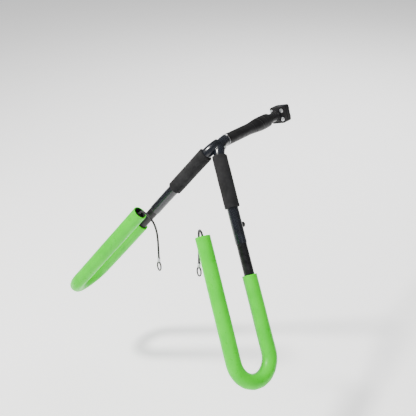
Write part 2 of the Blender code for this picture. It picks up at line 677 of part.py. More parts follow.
def bungee_cord(leg):
    """The cord, the crimped ferrule on its end and the plastic hook below the ferrule."""
    curve = bpy.data.curves.new(leg.name + "_cord", "CURVE")
    curve.dimensions = "3D"
    curve.bevel_depth = CORD_DIAMETER / 2
    curve.bevel_resolution = 2
    curve.use_fill_caps = True
    points = smooth_route(CORD_ROUTES[leg.name])
    line = curve.splines.new("POLY")
    line.points.add(len(points) - 1)
    for knot, place in zip(line.points, points):
        knot.co = (*place, 1.0)
    add_object(leg.name + "_cord", curve, BLACK_CORD, leg.frame)

    end = points[-1] - UP * FIT_GAP
    ferrule = turned(leg.name + "_ferrule", [
        (FERRULE_DIAMETER / 2 - 0.001, -FERRULE_LENGTH), (FERRULE_DIAMETER / 2, 0.001 - FERRULE_LENGTH),
        (FERRULE_DIAMETER / 2, -0.001), (FERRULE_DIAMETER / 2 - 0.001, 0.0)], sides=12)
    add_object(leg.name + "_ferrule", ferrule, BRIGHT_STEEL, leg.frame, Matrix.Translation(end))

    # A drop-shaped loop that starts under the ferrule and runs round almost back to its own shank.
    wire = CORD_HOOK_WIRE / 2
    half_wide = CORD_HOOK_WIDTH / 2 - wire
    half_tall = (CORD_HOOK_HEIGHT - wire) / 2
    middle = end - UP * (FERRULE_LENGTH + FIT_GAP + half_tall)
    steps = 16
    loop = []
    for step in range(steps + 1):
        turn = (2 * math.pi - CORD_HOOK_OPENING) * step / steps
        place = middle + UP * half_tall * math.cos(turn) + FORWARD * half_wide * math.sin(turn)
        heading = (UP * -half_tall * math.sin(turn) + FORWARD * half_wide * math.cos(turn)).normalized()
        loop.append((place, heading))
    loop = [(loop[0][0], -UP)] + loop[2:]
    add_object(leg.name + "_cord_hook", sweep(leg.name + "_cord_hook", sized(loop, wire), None, OUTBOARD, 8),
               BLACK_PLASTIC, leg.frame)


for leg in (FRONT, REAR):
    leg.frame = bpy.data.objects.new(leg.name + "_hook_frame", None)
    bpy.context.scene.collection.objects.link(leg.frame)
    leg_foam(leg)
    hook_tube(leg)
    hook_foam(leg)
    end_plug(leg)
    lock_knob(leg)
    bungee_cord(leg)
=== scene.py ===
import json
import math

import bmesh
import bpy
from mathutils import Matrix, Vector


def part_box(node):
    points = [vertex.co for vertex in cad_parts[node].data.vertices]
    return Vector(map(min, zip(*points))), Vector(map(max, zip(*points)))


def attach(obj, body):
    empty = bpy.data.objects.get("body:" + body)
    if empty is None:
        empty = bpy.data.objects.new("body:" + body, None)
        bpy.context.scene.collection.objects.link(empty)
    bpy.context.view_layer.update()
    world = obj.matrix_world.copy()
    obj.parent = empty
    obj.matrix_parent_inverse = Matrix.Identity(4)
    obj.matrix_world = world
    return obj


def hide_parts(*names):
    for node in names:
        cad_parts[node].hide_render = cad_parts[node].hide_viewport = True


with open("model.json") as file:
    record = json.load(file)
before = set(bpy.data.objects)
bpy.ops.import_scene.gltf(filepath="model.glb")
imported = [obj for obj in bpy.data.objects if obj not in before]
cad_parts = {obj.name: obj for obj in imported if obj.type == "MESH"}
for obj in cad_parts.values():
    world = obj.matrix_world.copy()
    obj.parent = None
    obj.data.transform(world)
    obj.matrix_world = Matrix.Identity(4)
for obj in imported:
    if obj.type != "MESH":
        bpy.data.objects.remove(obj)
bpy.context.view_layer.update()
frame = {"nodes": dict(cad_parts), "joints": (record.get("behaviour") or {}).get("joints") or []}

# ---------------------------------------------------------------- camera
# A standing person's view of the carrier, from outboard and ahead of it and looking down.
# It stands two metres from the clamp.
CAMERA_PLACE = (1.005, -1.613, 0.676)
CAMERA_TURN = math.radians(39.5)
CAMERA_DOWN = math.radians(29.1)
CAMERA_LENS = 49.4

camera_data = bpy.data.cameras.new("camera")
camera_data.lens = CAMERA_LENS
camera_data.sensor_width = 36.0
camera = bpy.data.objects.new("camera", camera_data)
camera.location = CAMERA_PLACE
camera.rotation_euler = (math.pi / 2 - CAMERA_DOWN, 0, CAMERA_TURN)
bpy.context.scene.collection.objects.link(camera)
bpy.context.scene.camera = camera

# ---------------------------------------------------------------- bungee cords
# Rubber-cored cord in a black braided cover. Each one is anchored in a hook's open end,
# droops over the foam's rim and hangs with its hook.
CORD_DIAMETER = 0.0065
STRAND_SLANT = math.radians(35)
STRANDS_PER_METRE = 260.0
CORD_ROUTES = {
    "front": [(0.1241, -0.5645, -0.1919), (0.1175, -0.5610, -0.1825),
              (0.1130, -0.5585, -0.1764), (0.1069, -0.5554, -0.1729), (0.0996, -0.5515, -0.1738),
              (0.0939, -0.5485, -0.1793), (0.0921, -0.5474, -0.1865), (0.0919, -0.5472, -0.1990),
              (0.0919, -0.5472, -0.2200), (0.0919, -0.5472, -0.2460), (0.0919, -0.5472, -0.2700),
              (0.0919, -0.5472, -0.2920)],
    "rear": [(-0.1241, -0.5796, -0.1919), (-0.1197, -0.5772, -0.1858),
             (-0.1155, -0.5752, -0.1808), (-0.1095, -0.5740, -0.1775), (-0.1010, -0.5733, -0.1785),
             (-0.0910, -0.5723, -0.1830), (-0.0790, -0.5705, -0.1925), (-0.0690, -0.5692, -0.2050),
             (-0.0620, -0.5682, -0.2215), (-0.0580, -0.5675, -0.2430), (-0.0565, -0.5671, -0.2650),
             (-0.0562, -0.5670, -0.2900), (-0.0562, -0.5670, -0.3270)],
}


def finish(name, colour, roughness, metallic=0.0):
    """A material, its node tree and its shader."""
    made = bpy.data.materials.new(name)
    made.use_nodes = True
    tree = made.node_tree
    shader = tree.nodes["Principled BSDF"]
    shader.inputs["Base Color"].default_value = (*colour, 1.0)
    shader.inputs["Roughness"].default_value = roughness
    shader.inputs["Metallic"].default_value = metallic
    return made, tree, shader


def noise(tree, scale, detail=4.0, stretch=(1, 1, 1)):
    """Noise in the piece's own coordinates, in waves per metre."""
    place = tree.nodes.new("ShaderNodeTexCoord")
    mapping = tree.nodes.new("ShaderNodeMapping")
    mapping.inputs["Scale"].default_value = stretch
    texture = tree.nodes.new("ShaderNodeTexNoise")
    texture.inputs["Scale"].default_value = scale
    texture.inputs["Detail"].default_value = detail
    tree.links.new(place.outputs["Object"], mapping.inputs["Vector"])
    tree.links.new(mapping.outputs["Vector"], texture.inputs["Vector"])
    return texture.outputs["Fac"]


def ramp(tree, factor, low, high, low_at=0.35, high_at=0.65):
    """Colours or greys picked along a 0 to 1 factor."""
    picked = tree.nodes.new("ShaderNodeValToRGB")
    picked.color_ramp.elements[0].position = low_at
    picked.color_ramp.elements[0].color = (*low, 1.0)
    picked.color_ramp.elements[1].position = high_at
    picked.color_ramp.elements[1].color = (*high, 1.0)
    tree.links.new(factor, picked.inputs["Fac"])
    return picked.outputs["Color"]


def bump(tree, shader, height, distance, strength):
    """Relief, laid over any that the shader has already."""
    relief = tree.nodes.new("ShaderNodeBump")
    relief.inputs["Strength"].default_value = strength
    relief.inputs["Distance"].default_value = distance
    tree.links.new(height, relief.inputs["Height"])
    if shader.inputs["Normal"].is_linked:
        tree.links.new(shader.inputs["Normal"].links[0].from_socket, relief.inputs["Normal"])
    tree.links.new(relief.outputs["Normal"], shader.inputs["Normal"])


def grey(value):
    return (value, value, value)


def braided():
    """Two sets of slanting strands crossing over each other, with painted shade darkening the low spots
    between them.
    """
    made, tree, shader = finish("braided_cord", (0.010, 0.010, 0.011), 0.75)
    place = tree.nodes.new("ShaderNodeTexCoord")
    strands = []
    for slant in (STRAND_SLANT, -STRAND_SLANT):
        mapping = tree.nodes.new("ShaderNodeMapping")
        mapping.inputs["Rotation"].default_value = (slant, slant, 0)
        wave = tree.nodes.new("ShaderNodeTexWave")
        wave.bands_direction = "Z"
        wave.inputs["Scale"].default_value = STRANDS_PER_METRE
        tree.links.new(place.outputs["Object"], mapping.inputs["Vector"])
        tree.links.new(mapping.outputs["Vector"], wave.inputs["Vector"])
        strands.append(wave.outputs["Fac"])
    crossed = tree.nodes.new("ShaderNodeMath")
    crossed.operation = "MULTIPLY"
    tree.links.new(strands[0], crossed.inputs[0])
    tree.links.new(strands[1], crossed.inputs[1])
    bump(tree, shader, crossed.outputs["Value"], 0.0006, 0.8)
    # Painted shade: where the bump sinks between strands, the base colour is darker.
    painted_groove_shade = ramp(tree, crossed.outputs["Value"], (0.004, 0.004, 0.0045), (0.028, 0.028, 0.03), 0.1, 0.9)
    tree.links.new(painted_groove_shade, shader.inputs["Base Color"])
    shader.inputs["Sheen Weight"].default_value = 0.1
    return made


def smooth_route(route, steps=6):
    """Points along a smooth curve through the route's own points."""
    points = [Vector(place) for place in route]
    padded = [2 * points[0] - points[1]] + points + [2 * points[-1] - points[-2]]
    smooth = []
    for before, start, end, after in zip(padded, padded[1:], padded[2:], padded[3:]):
        for step in range(steps):
            part = step / steps
            smooth.append(0.5 * (2 * start + (end - before) * part
                                 + (2 * before - 5 * start + 4 * end - after) * part ** 2
                                 + (3 * start - before - 3 * end + after) * part ** 3))
    return smooth + [points[-1]]


BRAIDED = braided()
cords = {}
for side, route in CORD_ROUTES.items():
    curve = bpy.data.curves.new(side + "_bungee", "CURVE")
    curve.dimensions = "3D"
    curve.bevel_depth = CORD_DIAMETER / 2
    curve.bevel_resolution = 5
    curve.use_fill_caps = True
    points = smooth_route(route)
    line = curve.splines.new("POLY")
    line.points.add(len(points) - 1)
    for knot, place in zip(line.points, points):
        knot.co = (*place, 1.0)
    line.use_smooth = True
    curve.materials.append(BRAIDED)
    cord = bpy.data.objects.new(side + "_bungee", curve)
    bpy.context.scene.collection.objects.link(cord)
    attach(cord, side + "_hook")
    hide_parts(side + "_cord")
    cords[side] = (cord, points)

# ---------------------------------------------------------------- cord ferrules and hooks
# A steel ferrule with two crimped waists closes each cord's end, and a loop hook moulded in
# black plastic hangs below it. The loop is left open, and a ball rounds off its tip.
FERRULE_RADIUS = 0.005
# Share of the ferrule's length from its top, and share of its radius there.
FERRULE_PROFILE = [(0.0, 0.78), (0.06, 1.0), (0.24, 1.0), (0.30, 0.86), (0.40, 0.86), (0.46, 1.0),
                   (0.60, 1.0), (0.66, 0.86), (0.76, 0.86), (0.82, 1.0), (0.94, 1.0), (1.0, 0.78)]
HOOK_WIRE = 0.0025
BALL_RADIUS = HOOK_WIRE * 1.25
LOOP_SWEEP = math.radians(318)
LOOP_STEPS = 44
BALL_STEPS = 6


def add_piece(name, bm, material, sharp=50):
    """An object from a finished bmesh, smooth but for the edges past an angle in degrees."""
    mesh = bpy.data.meshes.new(name)
    bm.to_mesh(mesh)
    bm.free()
    mesh.shade_smooth()
    mesh.set_sharp_from_angle(angle=math.radians(sharp))
    mesh.materials.append(material)
    piece = bpy.data.objects.new(name, mesh)
    bpy.context.scene.collection.objects.link(piece)
    return piece


def skin(name, rings, material, normal, sides=48, hollow=False, swell=None, sharp=50):
    """A smooth surface over rings (centre, direction, radius); a hollow one closes on itself.

    swell(number, turn) adds to the radius at a ring's number and an angle around it.
    """
    bm = bmesh.new()
    loops = []
    for number, (centre, direction, radius) in enumerate(rings):
        sideways = normal - direction * normal.dot(direction)
        sideways.normalize()
        across = direction.cross(sideways)
        loop = []
        for step in range(sides):
            turn = 2 * math.pi * step / sides
            reach = radius + (swell(number, turn) if swell else 0.0)
            loop.append(bm.verts.new(centre + reach * (math.cos(turn) * sideways + math.sin(turn) * across)))
        loops.append(loop)
    pairs = list(zip(loops, loops[1:]))
    if hollow:
        pairs.append((loops[-1], loops[0]))
    for first, second in pairs:
        for step in range(sides):
            after = (step + 1) % sides
            bm.faces.new((first[step], first[after], second[after], second[step]))
    if not hollow:
        bm.faces.new(loops[0])
        bm.faces.new(loops[-1])
    bmesh.ops.recalc_face_normals(bm, faces=bm.faces)
    return add_piece(name, bm, material, sharp)


def place_piece(piece, body, slot, *nodes):
    """Put a piece on the body it moves with, in place of the plain nodes."""
    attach(piece, body)
    if nodes:
        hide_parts(*nodes)


def bright_steel():
    made, tree, shader = finish("bright_steel", (0.62, 0.63, 0.65), 0.28, 1.0)
    tree.links.new(ramp(tree, noise(tree, 900.0, 3.0), grey(0.18), grey(0.42)), shader.inputs["Roughness"])
    bump(tree, shader, noise(tree, 1500.0, 2.0), 0.00005, 0.3)
    return made


def moulded_plastic():
    made, tree, shader = finish("moulded_plastic", (0.008, 0.008, 0.009), 0.38)
    tree.links.new(ramp(tree, noise(tree, 300.0), grey(0.30), grey(0.48)), shader.inputs["Roughness"])
    bump(tree, shader, noise(tree, 2500.0, 2.0), 0.00008, 0.4)
    return made


BRIGHT_STEEL = bright_steel()
PLASTIC = moulded_plastic()
UP = Vector((0, 0, 1))
FORWARD = Vector((1, 0, 0))
OUTBOARD = Vector((0, -1, 0))

for side, (cord, points) in cords.items():
    low, high = (Vector(corner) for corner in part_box(side + "_ferrule"))
    middle = (low + high) / 2
    rings = [(Vector((middle.x, middle.y, high.z - part * (high.z - low.z))), -UP, FERRULE_RADIUS * share)
             for part, share in FERRULE_PROFILE]
    ferrule = skin(side + "_crimped_ferrule", rings, BRIGHT_STEEL, FORWARD, sides=32, sharp=70)
    place_piece(ferrule, side + "_hook", "bright_steel", side + "_ferrule")

    low, high = (Vector(corner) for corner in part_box(side + "_cord_hook"))
    centre = (low + high) / 2
    tall = (high.z - low.z) / 2 - HOOK_WIRE
    wide = (high.x - low.x) / 2 - HOOK_WIRE
    loop = [(Vector((centre.x, centre.y, high.z)), -UP, BALL_RADIUS)]
    for step in range(2, LOOP_STEPS + 1):
        turn = LOOP_SWEEP * step / LOOP_STEPS
        place = centre + UP * tall * math.cos(turn) + FORWARD * wide * math.sin(turn)
        heading = (UP * -tall * math.sin(turn) + FORWARD * wide * math.cos(turn)).normalized()
        loop.append((place, heading, HOOK_WIRE * (1.0 + 0.10 * math.cos(turn))))
    tip, tip_way, _ = loop[-1]
    for step in range(1, BALL_STEPS):
        turn = math.pi * step / BALL_STEPS
        place = tip + tip_way * BALL_RADIUS * (1 - math.cos(turn))
        loop.append((place, tip_way, BALL_RADIUS * math.sin(turn)))
    hook = skin(side + "_loop_hook", loop, PLASTIC, OUTBOARD, sides=20, sharp=80)
    place_piece(hook, side + "_hook", "black_plastic", side + "_cord_hook")

# ---------------------------------------------------------------- clamp jaws
# Two cast aluminium halves of a block that closes round the seat post, painted satin black.
# The outboard half has a round boss, with a socket that the neck tube is pressed into.
JAW_DEPTH = 0.019
JAW_EDGE = 0.0012
CLAMP_LEAN = math.radians(-18)


def cast_metal():
    """Painted casting: grainy and satin, a little paler in patches."""
    made, tree, shader = finish("painted_casting", (0.010, 0.010, 0.011), 0.45)
    tree.links.new(ramp(tree, noise(tree, 140.0, 5.0), (0.004, 0.004, 0.0045), (0.010, 0.010, 0.011)),
                   shader.inputs["Base Color"])
    tree.links.new(ramp(tree, noise(tree, 220.0, 4.0), grey(0.36), grey(0.60)), shader.inputs["Roughness"])
    shader.inputs["Specular IOR Level"].default_value = 0.25
    bump(tree, shader, noise(tree, 1300.0, 3.0), 0.00012, 0.5)
    bump(tree, shader, noise(tree, 240.0, 2.0), 0.0004, 0.3)
    return made


def dress(node, material, edge=0.0):
    """Give a carried-over piece its finish, and round its edges off."""
    piece = frame["nodes"][node]
    mesh = piece.data
    mesh.materials.clear()
    mesh.materials.append(material)
    for face in mesh.polygons:
        face.material_index = 0
    if "custom_normal" in mesh.attributes:
        mesh.attributes.remove(mesh.attributes["custom_normal"])
    mesh.shade_smooth()
    join = piece.modifiers.new("join", "WELD")
    join.merge_threshold = 0.00001
    if edge:
        round_off = piece.modifiers.new("edges", "BEVEL")
        round_off.width = edge
        round_off.segments = 3
        round_off.limit_method = "ANGLE"
        round_off.angle_limit = math.radians(38)
        round_off.harden_normals = True


CASTING = cast_metal()
dress("clamp_outer_jaw", CASTING, JAW_EDGE)
dress("clamp_inner_jaw", CASTING, JAW_EDGE)

# ---------------------------------------------------------------- clamp liners
# Two rubber half shells that lie in the jaws' bore and keep the seat post from being scratched.
# They are moulded, cut off square at the split, and held only by the clamp's grip.


def rubber():
    made, tree, shader = finish("black_rubber", (0.02, 0.02, 0.02), 0.8)
    tree.links.new(ramp(tree, noise(tree, 400.0), (0.012, 0.012, 0.012), (0.03, 0.03, 0.03)),
                   shader.inputs["Base Color"])
    bump(tree, shader, noise(tree, 2200.0, 2.0), 0.00015, 0.5)
    return made


RUBBER = rubber()
dress("clamp_liner_outer", RUBBER)
dress("clamp_liner_inner", RUBBER)

# ---------------------------------------------------------------- clamp bolts and nuts
# Four zinc-plated button-head bolts with hexagon sockets go in from the outboard side and draw
# the jaws together on plain chamfered nuts behind them.
BOLT_COLUMN = 0.020
BOLT_ROW = 0.0145
BOLT_RADIUS = 0.003
HEAD_RADIUS = 0.007
HEAD_HEIGHT = 0.0045
SOCKET_ACROSS = 0.004
NUT_ACROSS = 0.010
NUT_HEIGHT = 0.005
BOLT_TAIL = 0.002
GAP = 0.0003


def hexagon(across, turn, blend=1.0):
    """How far a hexagon's edge stands from its inscribed circle, at an angle around it."""
    off = (turn % (math.pi / 3)) - math.pi / 6
    return blend * across / 2 * (1 / math.cos(off) - 1)


def along(start, way, profile):
    """Rings (centre, direction, radius) from a profile of (distance, radius)."""
    return [(start + way * distance, way, radius) for distance, radius in profile]


def socket_bolt(name, seat, facing, upright, shank, radius, head, height, socket):
    """A button-head bolt with a hexagon socket; seat is under its head, facing out of it."""
    profile = [(-shank, radius * 0.75), (0.0006 - shank, radius), (0.0, radius), (0.0, head - 0.0004),
               (0.0003, head), (0.25 * height, head)]
    for step in range(1, 9):
        turn = math.pi / 2 * step / 9
        profile.append((height * (0.25 + 0.75 * math.sin(turn)), head * (0.42 + 0.58 * math.cos(turn))))
    rim = len(profile)
    profile += [(height, 0.62 * socket), (height - 0.0003, 0.5 * socket),
                (height * 0.35, 0.5 * socket), (height * 0.28, 0.1 * socket)]
    return skin(name, along(seat, facing, profile), BRIGHT_STEEL, upright, sides=48, sharp=42,
                swell=lambda number, turn: hexagon(socket, turn) if rim < number < rim + 3 else 0.0)


def chamfered_nut(name, seat, facing, upright, across, height, hole):
    """A hexagon nut with its outer corners turned off and a countersunk hole."""
    corner = 0.0007
    sink = 0.0004
    profile = [(0.0, hole + sink), (0.0, across / 2), (corner, across / 2), (height - corner, across / 2),
               (height, across / 2 - 0.0002), (height, hole + sink), (height - sink, hole), (sink, hole)]
    sizes = {1: 0.25, 2: 1.0, 3: 1.0, 4: 0.25}
    return skin(name, along(seat, facing, profile), BRIGHT_STEEL, upright, sides=48, hollow=True, sharp=28,
                swell=lambda number, turn: hexagon(across, turn, sizes.get(number, 0.0)))


lean = Matrix.Rotation(CLAMP_LEAN, 3, "Y")
upright = lean @ UP
shank = 2 * JAW_DEPTH + NUT_HEIGHT + BOLT_TAIL
places = [(column, row) for column in (BOLT_COLUMN, -BOLT_COLUMN) for row in (BOLT_ROW, -BOLT_ROW)]
for number, (column, row) in enumerate(places, start=1):
    level = lean @ Vector((column, 0, row))
    bolt = socket_bolt(f"clamp_socket_bolt_{number}", level + OUTBOARD * JAW_DEPTH, OUTBOARD, upright,
                       shank, BOLT_RADIUS, HEAD_RADIUS, HEAD_HEIGHT, SOCKET_ACROSS)
    place_piece(bolt, "clamp", "bright_steel", f"clamp_bolt_{number}")
    nut = chamfered_nut(f"clamp_hex_nut_{number}", level - OUTBOARD * (JAW_DEPTH + GAP), -OUTBOARD,
                        upright, NUT_ACROSS, NUT_HEIGHT, BOLT_RADIUS + GAP)
    place_piece(nut, "clamp", "bright_steel", f"clamp_nut_{number}")

# ---------------------------------------------------------------- neck tube and collar
# A drawn steel tube pressed into the jaw's boss, powder-coated black; the arm turns on it.
# A narrow cast collar on it stops the arm from sliding up against the clamp.
TUBE_RADIUS = 0.0175
TUBE_BORE = 0.0162
TUBE_EDGE = 0.0005
SLIDING_RADIUS = 0.0159
NECK_START = 0.0203
NECK_END = 0.150
NECK_BORE = 0.0134
NECK_EDGE = 0.0008
COLLAR_PLACE = 0.076
COLLAR_WIDTH = 0.008
COLLAR_RADIUS = 0.019
COLLAR_EDGE = 0.0011


def lip(station, outside, inside, edge, way=1):
    """Rings that roll over a tube's end from its outside to its bore; way -1 is the tube's start."""
    centre, direction = station
    rings = []
    for step in range(5):
        turn = math.pi / 2 * step / 4
        rings.append((centre - way * direction * edge * (1 - math.sin(turn)), direction,
                      outside - edge * (1 - math.cos(turn))))
    for step in range(5):
        turn = math.pi / 2 * step / 4
        rings.append((centre - way * direction * edge * (1 - math.cos(turn)), direction,
                      inside + edge * (1 - math.sin(turn))))
    return rings


def sized(path, radius):
    """Rings of one radius along a path of (centre, direction)."""
    return [(centre, direction, radius) for centre, direction in path]


def bore_back(path, inside):
    """Rings of the bore from the far end back to the start, every fourth station."""
    return sized(list(reversed(path[2:-2:4])), inside)


def pipe(name, path, outside, inside, edge, material, normal, sides=64, swell=None, body=None, mouth=None,
         painted_shade_inside=None):
    """A tube with rolled ends along a path of (centre, direction).

    body gives the outside rings between the ends when they aren't all one size; mouth is the
    wider bore and its depth at the far end, whose inside and bore may be painted near-black as
    painted shade. swell counts from 0 at the first of the body's rings.
    """
    start = list(reversed(lip(path[0], body[0][2] if body else outside, inside, edge, way=-1)))
    middle = body or sized(path[1:-1], outside)
    far_bore = mouth[0] if mouth else inside
    end = lip(path[-1], body[-1][2] if body else outside, far_bore, edge)
    if mouth:
        centre, direction = path[-1]
        end.append((centre - direction * mouth[1], direction, far_bore))
        end.append((centre - direction * (mouth[1] + 0.001), direction, inside))
    shift = len(start)

    def relief(number, turn):
        inside_body = 0 <= number - shift < len(middle)
        return swell(number - shift, turn) if swell and inside_body else 0.0

    made = skin(name, start + middle + end + bore_back(path, inside), material, normal, sides, True, relief)
    # The mouth's inside and the bore get the second, near-black material: painted shade standing in for the
    # shadow there.
    if painted_shade_inside:
        made.data.materials.append(painted_shade_inside)
        painted_shade_rings = 4
        first_bore_face = (shift + len(middle) + len(end) - painted_shade_rings) * sides
        for face in made.data.polygons:
            if face.index >= first_bore_face:
                face.material_index = 1
    return made


def run(start, end, steps):
    """Stations straight outboard along the arm's axis."""
    return [(OUTBOARD * (start + (end - start) * step / steps), OUTBOARD) for step in range(steps + 1)]


def coated_tube():
    """Powder coat: semi-gloss, uneven in faint patches, with fine orange peel."""
    made, tree, shader = finish("powder_coat", (0.008, 0.008, 0.009), 0.32)
    tree.links.new(ramp(tree, noise(tree, 70.0, 5.0), (0.003, 0.003, 0.0035), (0.008, 0.008, 0.009)),
                   shader.inputs["Base Color"])
    tree.links.new(ramp(tree, noise(tree, 180.0, 6.0), grey(0.24), grey(0.44)), shader.inputs["Roughness"])
    bump(tree, shader, noise(tree, 700.0, 2.0), 0.0001, 0.35)
    shader.inputs["Specular IOR Level"].default_value = 0.28
    return made


COATED = coated_tube()
neck = pipe("arm_neck", run(NECK_START, NECK_END, 40), SLIDING_RADIUS, NECK_BORE, NECK_EDGE, COATED, UP)
place_piece(neck, "clamp", "coated_tube", "neck_tube")
collar = pipe("stop_collar", run(COLLAR_PLACE - COLLAR_WIDTH / 2, COLLAR_PLACE + COLLAR_WIDTH / 2, 8),
              COLLAR_RADIUS, SLIDING_RADIUS + GAP, COLLAR_EDGE, CASTING, UP)
place_piece(collar, "clamp", "cast_metal", "neck_collar")

# ---------------------------------------------------------------- arm tube and set screw
# The arm's own tube turns on the neck, hidden by its sleeve apart from a hair at each end.
# A set screw through its underside bears on the neck and holds the arm where it is set.
ARM_START = 0.0803
ARM_END = 0.3069
arm = pipe("arm_main_tube", run(ARM_START, ARM_END, 60), TUBE_RADIUS, TUBE_BORE, TUBE_EDGE, COATED, UP)
place_piece(arm, "arm", "coated_tube", "arm_tube")
dress("arm_lock_screw", BRIGHT_STEEL)

# ---------------------------------------------------------------- arm sleeve
# A soft black cover over padding, pulled onto the arm: fat near the clamp and slim towards the
# hub. The cover is loose over the fat part, so it creases there and on the shoulder past it.
SLEEVE_BORE = 0.0178
SLEEVE_SLIM = 0.01875
SLEEVE_FAT = 0.0235
SLEEVE_EDGE = 0.0004
SLEEVE_STEPS = 190
FAT_UNTIL = 0.040
SLIM_FROM = 0.112
HEM_PLACE = 0.009
HEM_WIDTH = 0.0009
HEM_DEPTH = 0.0003
CREASE_WIDTH = 0.0022
SLEEVE_START = ARM_START + 0.002
SLEEVE_END = ARM_END - 0.001
# Each crease: distance along the sleeve, slant, the angle it faces, depth.
CREASES = [(0.031, 0.004, 0.4, 0.0009), (0.043, -0.006, 1.9, 0.0008), (0.052, 0.008, -0.9, 0.0010),
           (0.066, 0.005, 0.9, 0.0009), (0.074, -0.004, 2.9, 0.0008), (0.085, 0.009, -2.0, 0.0007),
           (0.098, 0.006, 0.2, 0.0006), (0.022, 0.003, -2.4, 0.0006), (0.118, -0.005, 1.4, 0.0004)]


def ease(value, start, end):
    """0 before start, 1 after end, smooth between."""
    part = min(1.0, max(0.0, (value - start) / (end - start)))
    return part * part * (3 - 2 * part)


def sleeve_cover():
    """Woven nylon cover with a thin rubbery face: two fine grains that cross, half dull."""
    made, tree, shader = finish("sleeve_cover", (0.010, 0.010, 0.011), 0.42)
    tree.links.new(ramp(tree, noise(tree, 55.0, 6.0), (0.003, 0.003, 0.0033), (0.008, 0.008, 0.0085)),
                   shader.inputs["Base Color"])
    tree.links.new(ramp(tree, noise(tree, 90.0, 4.0), grey(0.38), grey(0.58)), shader.inputs["Roughness"])
    bump(tree, shader, noise(tree, 900.0, 2.0, (1, 0.25, 1)), 0.0003, 0.45)
    bump(tree, shader, noise(tree, 900.0, 2.0, (0.3, 1, 0.3)), 0.0003, 0.35)
    shader.inputs["Specular IOR Level"].default_value = 0.25
    return made


def sleeve_radius(distance):
    """Fat, then slim, and a little drawn in at the mouth by the clamp."""
    bulge = 1 - ease(distance, FAT_UNTIL, SLIM_FROM)
    drawn_in = 0.0012 * math.exp(-distance / 0.004)
    return SLEEVE_SLIM + (SLEEVE_FAT - SLEEVE_SLIM) * bulge - drawn_in


def sleeve_creases(number, turn):
    """Slanting folds over the bulge and its shoulder, and a stitched hem at each end."""
    distance = (SLEEVE_END - SLEEVE_START) * (number + 2) / SLEEVE_STEPS
    loose = ease(distance, 0.004, 0.03) * (1 - ease(distance, 0.085, 0.16))
    folds = 0.0
    for place, lean_way, face, deep in CREASES:
        along_fold = distance - place - lean_way * math.sin(turn - face)
        facing = max(0.0, math.cos(turn - face))
        folds -= deep * math.exp(-(along_fold / CREASE_WIDTH) ** 2) * facing ** 1.5
        folds += 0.5 * deep * math.exp(-((along_fold - 0.005) / 0.003) ** 2) * facing
    hem = math.exp(-((distance - HEM_PLACE) / HEM_WIDTH) ** 2)
    hem += math.exp(-((SLEEVE_END - SLEEVE_START - distance - HEM_PLACE) / HEM_WIDTH) ** 2)
    wave = 0.00015 * math.sin(3 * turn + distance * 90)
    return loose * (folds + wave) - HEM_DEPTH * hem


SLEEVE_COVER = sleeve_cover()
path = run(SLEEVE_START, SLEEVE_END, SLEEVE_STEPS)
body = [(centre, way, sleeve_radius((centre - path[0][0]).length)) for centre, way in path[2:-2]]
sleeve = pipe("arm_padded_sleeve", path, SLEEVE_SLIM, SLEEVE_BORE, SLEEVE_EDGE, SLEEVE_COVER, UP, sides=96,
              swell=sleeve_creases, body=body)
place_piece(sleeve, "arm", "arm_sleeve", "arm_sleeve")

# ---------------------------------------------------------------- hub ring and spigot
# A bright spacer ring shows as a thin line where the arm meets the front elbow, and a solid
# spigot inside joins the two tubes.
HUB_REACH = 0.308
RING_THICKNESS = 0.0016
RING_RADIUS = 0.01925
SPIGOT_EDGE = 0.0004
ring = pipe("hub_spacer_ring", run(HUB_REACH - RING_THICKNESS / 2, HUB_REACH + RING_THICKNESS / 2, 8),
            RING_RADIUS, TUBE_BORE, TUBE_EDGE, BRIGHT_STEEL, UP)
place_piece(ring, "arm", "bright_steel", "hub_ring")
dress("hub_spigot", COATED, SPIGOT_EDGE)

# ---------------------------------------------------------------- front and rear elbows
# Bent steel tubes from the hub down into the legs, in thick gloss black lacquer. The rear one has
# a solid coped end against the front one, and each leg has a long slot on its hidden side.
ELBOW_RADIUS = 0.060
KNOB_PLACE = 0.210
LEG_LENGTH = 0.266
REAR_CUT = math.radians(18)
SOLID_SHARE = 0.7
KNOB_SCREW_RADIUS = 0.003
SLIDE_IN = 0.040
SLIDE_OUT = 0.035
HUB_BOLT_TURN = math.radians(38)
HUB_BOLT_REACH = 0.024
HUB_BOLT_RADIUS = 0.0025
DRILL_REACH = 0.030
SLOT_PLAY = 0.0002
SLOT_MARGIN = 0.003
COPE_LEAD = 0.004
COPE_REACH = 0.080

joints = {joint["name"]: joint for joint in frame["joints"]}


